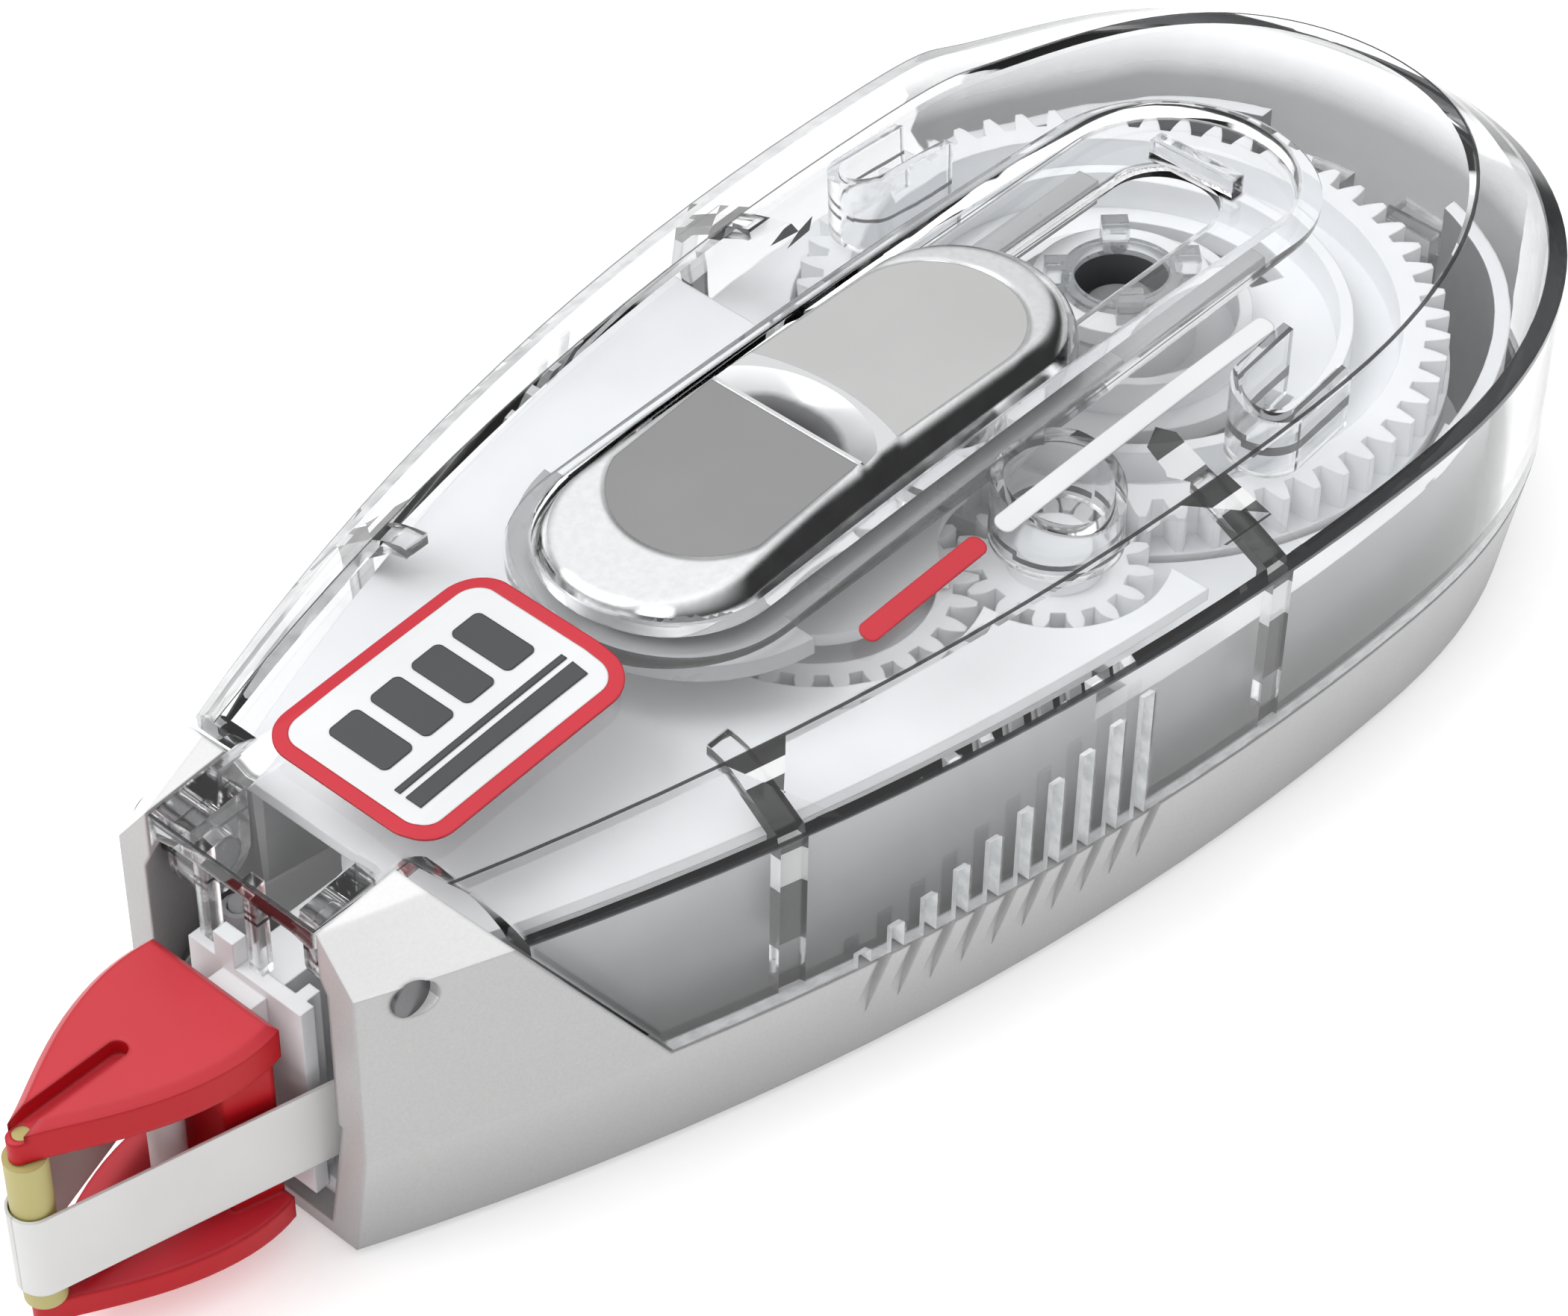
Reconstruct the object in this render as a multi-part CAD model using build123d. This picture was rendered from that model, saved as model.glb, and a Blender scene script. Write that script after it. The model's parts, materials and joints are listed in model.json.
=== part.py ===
from build123d import *
from math import acos, atan2, copysign, cos, degrees, hypot, pi, radians, sin, sqrt, tan
import os

# Refillable correction tape roller, in millimetres.
# While modelling, X runs from the nose to the tail with the mouth at X = 0, Z = 0 is the
# resting plane.  Every part is then moved so that the supply reel's axis stands on the origin.

# case outline: an arc from the mouth to the widest station, then a blunt round tail
X_WIDE = 52.0
HALF_WIDTH = 17.6
TAIL = 22.2
FLANK_R = 126.0
# plateau outline of the clear cover, same construction
TOP_X_WIDE = 49.0
TOP_HALF = 13.2
TOP_TAIL = 22.5
TOP_FLANK_R = 143.9
# the tail is a quarter curve (x / a) ** n + (y / b) ** n = 1 on each side
TAIL_POWER = 2.25

Z_FLOOR = 1.2
Z_RIM = 6.3
Z_EDGE = 15.3
Z_SHOULDER = 17.7
Z_CROWN = 19.9
CROWN_X = 36.0
FOOT_INSET = 0.9
SHELL_WALL = 1.3
COVER_WALL = 1.1
RIM_GAP = 0.15

# hinge of the cover, inside the silver cheeks
HINGE_X = 2.2
HINGE_Z = 14.5
PIN_R = 0.9
LUG_R = 1.45
CHEEK_Y = 4.6
CHEEK_FOOT_X = 12.0
CHEEK_TOP_X = 4.0
CHEEK_TOP_Z = 18.1

# label on the nose
LABEL_X = 11.1
LABEL_Y = -0.4

# slider
SLOT_X0 = 23.6
SLOT_X1 = 56.4
SLOT_R = 5.35
BUTTON_R = 5.2
BUTTON_X1 = 41.4
BUTTON_Z0 = 18.15
SLOT_FLOOR_TOP = 18.0
SLOT_FLOOR = 0.7
NECK_HALF = 2.4
PAD_HALF = 3.95
SCOOP_X0 = 30.75
SCOOP_X1 = 33.6
SCOOP_BEND_R = 11.5
SCOOP_DEPTH = 0.85
SKIRT_TOP = SLOT_FLOOR_TOP - SLOT_FLOOR - 0.15

# reels and gears
MODULE = 0.485
N_SUPPLY = 57
N_IDLER = 15
N_TAKEUP = 26
SUPPLY_X = 52.9
IDLER_ANGLE = 209.4
TAKEUP_DX = 7.6
Z_GEAR0 = 11.5
Z_GEAR1 = 13.3
Z_PLATE0 = 13.5
Z_PLATE1 = 14.1
AXLE_R = 1.5
HUB_BORE = 2.1
FIT = 0.06

# tape
TAPE_Z0 = 4.2
TAPE_W = 4.2
TAPE_T = 0.12
PACK_R = 12.2
CORE_R = 5.6
USED_R = 3.6

# red tip
TIP_X = -10.8
TIP_R = 0.85
HEAD_Z0 = 1.6
HEAD_Z1 = 13.0

DIST_SUPPLY_IDLER = MODULE * (N_SUPPLY + N_IDLER) / 2
DIST_IDLER_TAKEUP = MODULE * (N_IDLER + N_TAKEUP) / 2
IDLER_X = SUPPLY_X + DIST_SUPPLY_IDLER * cos(radians(IDLER_ANGLE))
IDLER_Y = DIST_SUPPLY_IDLER * sin(radians(IDLER_ANGLE))
TAKEUP_X = IDLER_X - TAKEUP_DX
TAKEUP_Y = IDLER_Y + sqrt(DIST_IDLER_TAKEUP ** 2 - TAKEUP_DX ** 2)

# guide rollers: x, y, roller radius
GUIDE_OUT = (24.0, -9.3, 1.2)
GUIDE_NEAR = (4.2, -5.5, 0.7)
GUIDE_FAR = (4.2, 4.9, 0.7)


def tear_drop(inset, x_wide, half, tail, flank_r, front_x):
    """Front chord, two flanks and a blunt round tail, moved in by inset."""
    y_mid = half - inset
    radius = flank_r - inset
    centre_y = half - flank_r

    def flank(x):
        return centre_y + sqrt(radius ** 2 - (x - x_wide) ** 2)

    x_half = (front_x + x_wide) / 2
    top = ThreePointArc((front_x, flank(front_x)), (x_half, flank(x_half)), (x_wide, y_mid))
    bend = [radians(22.5 * i) for i in range(-4, 5)]
    share = 2 / TAIL_POWER
    spots = [(x_wide + (tail - inset) * cos(t) ** share, y_mid * copysign(abs(sin(t)) ** share, t))
             for t in bend]
    rear = Spline(*spots, tangents=[(1, 0), (-1, 0)])
    low = ThreePointArc((x_wide, -y_mid), (x_half, -flank(x_half)), (front_x, -flank(front_x)))
    front = Line((front_x, -flank(front_x)), (front_x, flank(front_x)))
    return make_face([top, rear, low, front])


def case_plan(inset=0.0, front_x=0.0):
    return tear_drop(inset, X_WIDE, HALF_WIDTH, TAIL, FLANK_R, front_x)


def plateau_plan(inset=0.0, front_x=0.0):
    return tear_drop(inset, TOP_X_WIDE, TOP_HALF, TOP_TAIL, TOP_FLANK_R, front_x)


def at_z(face, z):
    return Pos(0, 0, z) * face


def half_width(x, inset=0.0):
    """Half width of the case plan at station x."""
    if x <= X_WIDE:
        return HALF_WIDTH - FLANK_R + sqrt((FLANK_R - inset) ** 2 - (x - X_WIDE) ** 2)
    share = ((x - X_WIDE) / (TAIL - inset)) ** TAIL_POWER
    return (HALF_WIDTH - inset) * (1 - share) ** (1 / TAIL_POWER)


def crown(drop, front_x, inset):
    """Pillow-shaped top of the cover above the plateau outline."""
    sections = []
    for scale in (1.0, 0.8, 0.6, 0.4):
        face = shrunk_plateau(scale, inset, front_x)
        sections.append(at_z(face, Z_CROWN - (Z_CROWN - Z_SHOULDER) * scale ** 2 - drop))
    return loft(sections)


def shrunk_plateau(factor, inset, front_x):
    """Plateau plan drawn smaller about the crown's highest station."""
    wide = CROWN_X + (TOP_X_WIDE - CROWN_X) * factor
    front = CROWN_X + (front_x - CROWN_X) * factor
    return tear_drop(inset, wide, TOP_HALF * factor, TOP_TAIL * factor, TOP_FLANK_R * factor, front)


def case_form(inset=0.0, drop=0.0, front_x=0.0, z0=Z_RIM):
    """Whole upper form of the case: upright wall, shoulder and crown."""
    z_edge = Z_EDGE - drop * 0.55
    wall = extrude(at_z(case_plan(inset, front_x), z0), z_edge - z0)
    slope = loft([at_z(case_plan(inset, front_x), z_edge),
                  at_z(plateau_plan(inset * 0.4, front_x), Z_SHOULDER - drop)], ruled=True)
    return wall + slope + crown(drop, front_x, inset * 0.4)


def block(x0, x1, y0, y1, z0, z1):
    return Pos((x0 + x1) / 2, (y0 + y1) / 2, (z0 + z1) / 2) * Box(x1 - x0, y1 - y0, z1 - z0)


def rod(x, y, r, z0, z1):
    return Pos(x, y, (z0 + z1) / 2) * Cylinder(r, z1 - z0)


def tube(x, y, r_in, r_out, z0, z1):
    return rod(x, y, r_out, z0, z1) - rod(x, y, r_in, z0 - 1, z1 + 1)


def cross_rod(x, z, r, y0, y1):
    return Pos(x, (y0 + y1) / 2, z) * Rot(90, 0, 0) * Cylinder(r, y1 - y0)


def stadium(x0, x1, r, z0, z1):
    face = Pos((x0 + x1) / 2, 0, z0) * SlotCenterToCenter(x1 - x0, 2 * r)
    return extrude(face, z1 - z0)


def cheek_wedge(gap=0.0):
    """Space of the two silver cheeks ahead of the raked parting line."""
    lean = (CHEEK_FOOT_X - CHEEK_TOP_X) / (CHEEK_TOP_Z - Z_RIM)
    foot = CHEEK_FOOT_X + lean * 2 + gap
    top = CHEEK_TOP_X - lean * 4 + gap
    side = Polyline((-2, Z_RIM - 2), (foot, Z_RIM - 2), (top, CHEEK_TOP_Z + 4), (-2, CHEEK_TOP_Z + 4),
                    close=True)
    wedge = extrude(Plane.XZ * make_face(side), 20, both=True)
    return wedge - block(-3, 20, -CHEEK_Y + gap, CHEEK_Y - gap, 0, 30)


def grip_stations():
    return [20.5 + 1.55 * i for i in range(10)]


def grip_grooves(depth, z0, heights, lean=0.0):
    """Narrow upright grooves on both flanks."""
    cuts = []
    for x, height in zip(grip_stations(), heights):
        for side in (-1, 1):
            y = side * half_width(x)
            groove = Pos(0, 0, height / 2) * Box(0.6, 2 * depth, height)
            cuts.append(Pos(x, y, z0) * Rot(0, lean, 0) * groove)
    return cuts


def bottom_shell():
    outer = loft([at_z(case_plan(FOOT_INSET), 0), at_z(case_plan(0), Z_RIM)], ruled=True)
    foot = outer.faces().sort_by(Axis.Z)[0].edges()
    outer = chamfer(foot, 0.45)
    share = 1 - Z_FLOOR / Z_RIM
    low_inset = FOOT_INSET * share + SHELL_WALL
    hollow = loft([at_z(case_plan(low_inset, -2), Z_FLOOR),
                   at_z(case_plan(SHELL_WALL - 0.2, -2), Z_RIM + 1.2)], ruled=True)
    cheeks = case_form() & cheek_wedge()
    cheeks = cheeks - case_form(SHELL_WALL, 1.2, -2, Z_RIM - 1)
    shell = outer + cheeks - hollow
    shell = shell - cross_rod(HINGE_X, HINGE_Z, PIN_R, -12, 12)
    return shell - grip_grooves(0.35, Z_RIM - 4.6, [4.8] * 10, 12)


def hinge_pins():
    near = cross_rod(HINGE_X, HINGE_Z, PIN_R, -half_width(HINGE_X) + 0.15, -2.9)
    far = cross_rod(HINGE_X, HINGE_Z, PIN_R, 2.9, half_width(HINGE_X) - 0.15)
    return Compound(children=[near, far])


def cover_ribs():
    """Two flat ribs each side that follow the inside of the wall and shoulder."""
    skin = case_form(COVER_WALL - 0.05, COVER_WALL - 0.05) - case_form(1.6, 1.6)
    z0 = Z_RIM + RIM_GAP
    front = block(17.2, 18.4, -20, 20, z0, 18) - block(17, 19, -8.0, 8.0, z0 - 1, 19)
    rear = block(42.0, 43.2, -20, 20, z0, 18) - block(41, 44, -12.0, 12.0, z0 - 1, 19)
    return skin & (front + rear)


def key_pockets():
    """U-shaped pockets that hang from the crown near both edges of the plateau."""
    pockets = Part()
    for side in (-1, 1):
        centre = Pos(50.4, side * 10.9, 13.9) * Rot(0, 0, side * -4)
        ring = SlotCenterToCenter(3.6, 3.4) - SlotCenterToCenter(3.6, 2.4)
        ring = ring - Pos(3.6, 0) * Rectangle(3.6, 6)
        pockets = pockets + centre * extrude(ring, 4.0)
    return pockets & case_form(0.4, 0.4)


def slot_floor():
    """Sunk floor of the slider's track, with the long opening for the slider's neck."""
    floor = stadium(SLOT_X0, SLOT_X1, SLOT_R + 1.0, SLOT_FLOOR_TOP - SLOT_FLOOR, SLOT_FLOOR_TOP)
    wall = stadium(SLOT_X0, SLOT_X1, SLOT_R + 1.0, SLOT_FLOOR_TOP, Z_CROWN)
    wall = (wall & case_form()) - stadium(SLOT_X0, SLOT_X1, SLOT_R, SLOT_FLOOR_TOP, Z_CROWN + 1)
    gap = stadium(SLOT_X0 + 2.5, SLOT_X1 - 1.0, NECK_HALF + 0.2, 10, SLOT_FLOOR_TOP + 1)
    stop = block(57.4, 58.2, -2.3, 2.3, SLOT_FLOOR_TOP - 0.1, 19.0)
    return floor + wall - gap + stop


def mouth_tongue(y):
    """Clear tongue that hangs from the cover's front edge behind the red tip."""
    return block(0.3, 0.9, y - 0.35, y + 0.35, 12.5, 17.2)


def top_cover():
    z0 = Z_RIM + RIM_GAP
    skin = case_form(0, 0, 0, z0) - case_form(COVER_WALL, COVER_WALL, -2, z0 - 1)
    skin = skin - cheek_wedge(RIM_GAP)
    relief = cross_rod(HINGE_X, HINGE_Z, 4.3, CHEEK_Y - RIM_GAP, 20)
    skin = skin - relief - mirror(relief, Plane.XZ)
    skin = skin - stadium(SLOT_X0, SLOT_X1, SLOT_R, 14, 25)
    skin = skin + cover_ribs() + slot_floor()
    for side in (-1, 1):
        y = side * (CHEEK_Y - RIM_GAP - 0.75)
        lug = cross_rod(HINGE_X, HINGE_Z, LUG_R, y - 0.75, y + 0.75)
        lug = lug + block(HINGE_X - LUG_R, HINGE_X + LUG_R, y - 0.75, y + 0.75, HINGE_Z, 17.3)
        skin = skin + lug
        skin = skin + mouth_tongue(side * 1.35 + 0.75)
        tab = block(70.6, 71.6, side * 3 - 1.5, side * 3 + 1.5, 4.6, 9)
        skin = skin + tab + block(71, 73.5, side * 3 - 1.5, side * 3 + 1.5, 7.6, 8.6)
    skin = skin - cross_rod(HINGE_X, HINGE_Z, PIN_R + FIT, -4.7, 4.7)
    boss = tube(IDLER_X, IDLER_Y, 2.3, 2.8, Z_PLATE1 + 0.6, 18) & case_form(0.4, 0.4)
    skin = skin + boss + key_pockets()
    heights = [0.9 + 0.68 * i for i in range(10)]
    return skin - grip_grooves(0.5, z0 - 0.2, heights)


def sheet_on_crown(plan, lift0, lift1):
    """Thin sheet that lies on the crown inside the given plan."""
    return (extrude(at_z(plan, 16), 6) & raised_form(lift1)) - raised_form(lift0)


def raised_form(lift):
    return case_form(0, -lift)


def label_field():
    plan = Pos(LABEL_X, LABEL_Y) * RectangleRounded(10.6, 7.8, 1.0)
    return sheet_on_crown(plan, 0.0, 0.08)


def label_border():
    plan = Pos(LABEL_X, LABEL_Y) * (RectangleRounded(11.9, 9.1, 1.7) - RectangleRounded(10.6, 7.8, 1.0))
    return sheet_on_crown(plan, 0.0, 0.08)


def label_bars():
    """Plain dark print: a row of four blocks and two stripes beside it."""
    plans = Sketch()
    for i in range(4):
        plans = plans + Pos(LABEL_X - 3.3 + 2.2 * i, LABEL_Y + 0.9) * RectangleRounded(1.6, 3.2, 0.3)
    for y, width in ((-1.75, 0.3), (-2.6, 0.8)):
        plans = plans + Pos(LABEL_X, LABEL_Y + y) * Rectangle(9.0, width)
    return sheet_on_crown(plans, 0.08, 0.14)


def print_bar(x0, x1, y):
    plan = Pos((x0 + x1) / 2, y) * RectangleRounded(x1 - x0, 0.9, 0.4)
    return sheet_on_crown(plan, 0.0, 0.06)


def slider_side(lift):
    """Side view of the button: thumb face that rises to a crest, then a flat rear face."""
    front = ThreePointArc((17.0, 19.35 + lift), (24.5, 20.05 + lift), (30.7, 20.6 + lift))
    rear = Line((30.7, 20.6 + lift), (48.0, 20.3 + lift))
    low = Polyline((48.0, 20.3 + lift), (48.0, BUTTON_Z0 - 3), (17.0, BUTTON_Z0 - 3), (17.0, 19.35 + lift))
    face = Plane.XZ * make_face([front, rear, low])
    return extrude(face, 8, both=True)


def thumb_scoop():
    """Crescent hollow across the button, deepest on the centre line."""
    z0 = 20.55 - SCOOP_DEPTH
    z_axis = z0 + SCOOP_BEND_R
    front = Line((SCOOP_X0, z_axis - 6), (SCOOP_X0 + 0.1, z0))
    slope = ThreePointArc((SCOOP_X0 + 0.1, z0), (SCOOP_X0 + 1.2, z0 + 0.22), (SCOOP_X1, z0 + 0.95))
    rest = Polyline((SCOOP_X1, z0 + 0.95), (SCOOP_X1, z_axis - 6), (SCOOP_X0, z_axis - 6))
    side = Plane.XZ * make_face([front, slope, rest])
    return revolve(side, Axis((0, 0, z_axis), (1, 0, 0)), 360)


def front_plan():
    """Front pad: round towards the nose, cut straight at the crest."""
    nose = ThreePointArc((24.8, -PAD_HALF), (22.0, 0), (24.8, PAD_HALF))
    rest = Polyline((24.8, PAD_HALF), (30.6, PAD_HALF), (30.6, -PAD_HALF), (24.8, -PAD_HALF))
    return make_face([nose, rest])


def rear_plan():
    """Rear pad: hollow front edge, round towards the tail."""
    front = ThreePointArc((33.0, PAD_HALF), (33.75, 0), (33.0, -PAD_HALF))
    near = Line((33.0, -PAD_HALF), (40.0, -PAD_HALF))
    tail = ThreePointArc((40.0, -PAD_HALF), (43.8, 0), (40.0, PAD_HALF))
    far = Line((40.0, PAD_HALF), (33.0, PAD_HALF))
    return make_face([front, near, tail, far])


def pad(plan):
    body = extrude(at_z(plan, 16), 8) & slider_side(0.0)
    return body - slider_side(-0.4)


def button_blank():
    """Stadium with flat leaning sides and ends that roll over, the front end furthest."""
    z_roll = BUTTON_Z0 + 0.5
    low = stadium(SLOT_X0, BUTTON_X1, BUTTON_R, BUTTON_Z0, z_roll)
    sections = []
    for angle in (0, 22, 44, 62, 76, 86):
        rolled = 1 - cos(radians(angle))
        r = BUTTON_R - 1.25 * sin(radians(angle))
        x0 = SLOT_X0 - BUTTON_R + 3.5 * rolled + r
        x1 = BUTTON_X1 + BUTTON_R - 2.7 * rolled - r
        plan = Pos((x0 + x1) / 2, 0) * SlotCenterToCenter(x1 - x0, 2 * r)
        sections.append(at_z(plan, z_roll + 2.0 * sin(radians(angle))))
    return low + loft(sections)


def slider_button():
    body = (button_blank() & slider_side(0.0)) - thumb_scoop()
    body = body - stadium(SLOT_X0, BUTTON_X1, BUTTON_R - 1.2, BUTTON_Z0 - 1, BUTTON_Z0 + 0.5)
    body = body - pad(front_plan()) - pad(rear_plan())
    neck = block(28, 42, -NECK_HALF + 0.1, NECK_HALF - 0.1, SKIRT_TOP, BUTTON_Z0 + 0.8)
    return body + neck


def slider_skirt():
    """Flange under the cover: a wide round nose and a narrower body."""
    nose = rod(25.3, 0, 7.3, SKIRT_TOP - 0.8, SKIRT_TOP) - block(24.3, 40, -8, 8, 10, 20)
    return nose + block(24.2, 45.5, -5.6, 5.6, SKIRT_TOP - 0.8, SKIRT_TOP)


def slider_fork():
    """Flat fork hanging from the skirt; its prongs run past both sides of the reel's hub."""
    z1 = SKIRT_TOP - 0.8
    z0 = z1 - 0.9
    bar = block(28, 39.3, -5.0, 5.0, z0, z1)
    for side in (-1, 1):
        bar = bar + block(39, 56.0, min(side * 3.9, side * 5.0), max(side * 3.9, side * 5.0), z0, z1)
    return bar


def involute(angle):
    return tan(angle) - angle


def gear_plan(teeth, phase):
    """Spur gear outline with involute flanks; phase turns a tooth's middle onto that bearing."""
    pitch_r = MODULE * teeth / 2
    base_r = pitch_r * cos(radians(20))
    tip_r = pitch_r + 0.45
    root_r = pitch_r - 0.62
    half_pitch = pi / (2 * teeth) - 0.045 / pitch_r
    at_pitch = involute(radians(20))
    flank = [root_r]
    low_r = max(root_r + 0.1, base_r)
    flank = flank + [low_r + (tip_r - low_r) * i / 4 for i in range(5)]
    points = []
    for k in range(teeth):
        middle = radians(phase) + 2 * pi * k / teeth
        side = []
        for r in flank:
            pressure = acos(min(1.0, base_r / r))
            side.append((r, half_pitch + at_pitch - involute(pressure)))
        for r, spread in side:
            points.append((r * cos(middle - spread), r * sin(middle - spread)))
        for r, spread in reversed(side):
            points.append((r * cos(middle + spread), r * sin(middle + spread)))
    return make_face(Polyline(*points, close=True))


def spur(teeth, phase, x, y, z0=Z_GEAR0 + 0.2):
    return Pos(x, y, 0) * extrude(at_z(gear_plan(teeth, phase), z0), Z_GEAR1 - z0)


def arc_slots(x, y, r0, r1, z0, z1, count, span, turn=0.0):
    """Curved openings in a web, evenly spaced round the axis."""
    cuts = []
    ring = tube(x, y, r0, r1, z0, z1)
    for k in range(count):
        middle = radians(turn + 360 * k / count)
        a = middle - radians(span / 2)
        b = middle + radians(span / 2)
        far = 3 * r1
        wedge = make_face(Polyline((x, y), (x + far * cos(a), y + far * sin(a)),
                                   (x + far * cos(middle), y + far * sin(middle)),
                                   (x + far * cos(b), y + far * sin(b)), close=True))
        cuts.append(ring & extrude(at_z(wedge, z0), z1 - z0))
    return cuts


def supply_gear():
    gear = spur(N_SUPPLY, IDLER_ANGLE, SUPPLY_X, 0, Z_GEAR0)
    gear = gear + rod(SUPPLY_X, 0, 14.45, Z_GEAR0 - 0.8, Z_GEAR0)
    gear = gear - tube(SUPPLY_X, 0, 3.4, 12.2, Z_GEAR0 + 0.2, 20)
    gear = gear + tube(SUPPLY_X, 0, 9.6, 10.2, Z_GEAR0, Z_GEAR1)
    gear = gear + tube(SUPPLY_X, 0, 5.2, 5.8, Z_GEAR0, Z_GEAR1)
    gear = gear + rod(SUPPLY_X, 0, 3.0, Z_GEAR0, 14.8) + rod(SUPPLY_X, 0, 4.0, 14.0, 14.8)
    gear = gear - rod(SUPPLY_X, 0, AXLE_R + FIT, 0, 20) - rod(SUPPLY_X, 0, HUB_BORE, 13.0, 20)
    for cut in arc_slots(SUPPLY_X, 0, 6.9, 8.6, 9, 20, 3, 62, 10):
        gear = gear - cut
    return gear


def supply_spool():
    spool = rod(SUPPLY_X, 0, 13.9, 3.1, 3.9)
    spool = spool + rod(SUPPLY_X, 0, CORE_R, 3.9, Z_GEAR0 - 0.9)
    spool = spool - rod(SUPPLY_X, 0, CORE_R - 0.8, 3.9, 12)
    spool = spool + rod(SUPPLY_X, 0, 2.5, 3.1, 8.0)
    spool = spool - rod(SUPPLY_X, 0, AXLE_R + FIT, 0, 20)
    for cut in arc_slots(SUPPLY_X, 0, 7.5, 12.5, 2, 4.1, 6, 34):
        spool = spool - cut
    return spool


def clutch_spring():
    """Slip ring that lets the spool drag behind its gear: a hub with three curved arms."""
    ring = tube(SUPPLY_X, 0, AXLE_R + FIT, 2.5, 8.1, Z_GEAR0 - 0.9)
    for k in range(3):
        arm = Pos(3.3, 0.6, 9.4) * Rot(0, 0, 18) * Box(2.4, 0.7, 1.4)
        ring = ring + Pos(SUPPLY_X, 0, 0) * Rot(0, 0, 120 * k) * arm
    return ring


def supply_tape():
    return tube(SUPPLY_X, 0, CORE_R, PACK_R, TAPE_Z0, TAPE_Z0 + TAPE_W)


def hub_ring():
    ring = tube(SUPPLY_X, 0, HUB_BORE, 2.7, 14.8, 15.3)
    for k in range(4):
        tab = Pos(SUPPLY_X, 0, 0) * Rot(0, 0, 45 + 90 * k) * block(2.3, 3.4, -0.6, 0.6, 14.8, 16.0)
        ring = ring + tab
    return ring


def idler_phase():
    """A gap of the idler faces the supply gear."""
    return IDLER_ANGLE - 180 + 180 / N_IDLER


def takeup_phase():
    """A gap of the take-up gear faces the idler tooth nearest to it."""
    bearing = degrees(atan2(TAKEUP_Y - IDLER_Y, TAKEUP_X - IDLER_X))
    step = 360 / N_IDLER
    lead = (bearing - idler_phase()) % step
    return bearing + 180 + 180 / N_TAKEUP + lead * N_IDLER / N_TAKEUP


def idler_gear():
    gear = spur(N_IDLER, idler_phase(), IDLER_X, IDLER_Y)
    gear = gear + rod(IDLER_X, IDLER_Y, 2.0, Z_GEAR0 - 0.8, Z_GEAR1 + 0.5)
    return gear - rod(IDLER_X, IDLER_Y, 1.0 + FIT, 0, 20)


def idler_cap():
    """Round cap that keeps the idler on its axle."""
    cap = rod(IDLER_X, IDLER_Y, 1.6, Z_GEAR1 + 0.65, Z_GEAR1 + 1.2)
    return cap - rod(IDLER_X, IDLER_Y, 0.6, 0, Z_GEAR1 + 1.0)


def takeup_gear():
    gear = spur(N_TAKEUP, takeup_phase(), TAKEUP_X, TAKEUP_Y)
    gear = gear - tube(TAKEUP_X, TAKEUP_Y, 2.4, 5.0, Z_GEAR0 + 0.8, 20)
    return gear - rod(TAKEUP_X, TAKEUP_Y, 1.2 + FIT, 0, 20)


def takeup_spool():
    spool = rod(TAKEUP_X, TAKEUP_Y, 7.4, 3.1, 3.9)
    spool = spool + rod(TAKEUP_X, TAKEUP_Y, 2.9, 3.9, Z_GEAR0)
    spool = spool + rod(TAKEUP_X, TAKEUP_Y, 7.4, Z_GEAR0 - 0.8, Z_GEAR0)
    spool = spool + rod(TAKEUP_X, TAKEUP_Y, 2.2, Z_GEAR0, Z_GEAR0 + 0.2)
    return spool - rod(TAKEUP_X, TAKEUP_Y, 1.2 + FIT, 0, 20)


def takeup_tape():
    return tube(TAKEUP_X, TAKEUP_Y, 2.9, USED_R, TAPE_Z0, TAPE_Z0 + TAPE_W)


def cassette_base():
    plan = case_plan(2.3, 1.0)
    base = extrude(at_z(plan, Z_FLOOR), 1.0)
    wall = extrude(at_z(case_plan(2.3, 7.0), 2.2), Z_PLATE0 - 2.25)
    wall = wall - extrude(at_z(case_plan(3.0, 6.0), 2.0), 14)
    wall = wall - block(33.5, 90, -20, 20, Z_GEAR0 - 0.1, 20)
    base = base + wall
    shelf = extrude(at_z(case_plan(2.3, 36.0), Z_GEAR0 - 0.8), 0.7)
    shelf = shelf - rod(SUPPLY_X, 0, 14.8, 5, 20) - rod(IDLER_X, IDLER_Y, 2.4, 5, 20)
    base = base + (shelf - block(30, 44, -8.4, 8.4, 5, 20) - block(58, 90, -20, 20, 5, 20))
    base = base - block(69.8, 90, -5.2, 5.2, 0, 20)
    base = base + rod(SUPPLY_X, 0, AXLE_R, 2, 13.6)
    base = base + rod(SUPPLY_X, 0, 2.4, 2, 2.9)
    base = base + rod(TAKEUP_X, TAKEUP_Y, 1.2, 2, Z_GEAR1) + rod(TAKEUP_X, TAKEUP_Y, 2.0, 2, 2.9)
    base = base + rod(IDLER_X, IDLER_Y, 1.0, 2, Z_GEAR1 + 0.6) + rod(IDLER_X, IDLER_Y, 1.9, 2, Z_GEAR0 - 0.95)
    base = base + rod(IDLER_X, IDLER_Y, 0.6, Z_GEAR1, Z_GEAR1 + 1.0)
    for x, y, r in (GUIDE_OUT, GUIDE_NEAR, GUIDE_FAR):
        base = base + rod(x, y, 0.4, 2, 9.6) + rod(x, y, r, 2, 3.2)
    base = base + mouth_comb()
    return base


def mouth_comb():
    """Upright wall in the mouth, between the two runs of tape, that carries the red tip."""
    comb = block(-0.9, 7.5, -1.2, 1.2, 1.8, 11.6)
    comb = comb + block(6.6, 7.5, -1.2, 1.2, 11.5, Z_PLATE0)
    comb = comb + block(0.2, 0.9, -3.1, 3.1, 1.8, 12.0) + block(0.2, 0.9, 0.5, 1.6, 11.9, 13.3)
    for y in (-2.4, 2.4):
        comb = comb + block(0.9, 1.6, y - 0.3, y + 0.3, 1.8, 12.0)
    return comb


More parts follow.
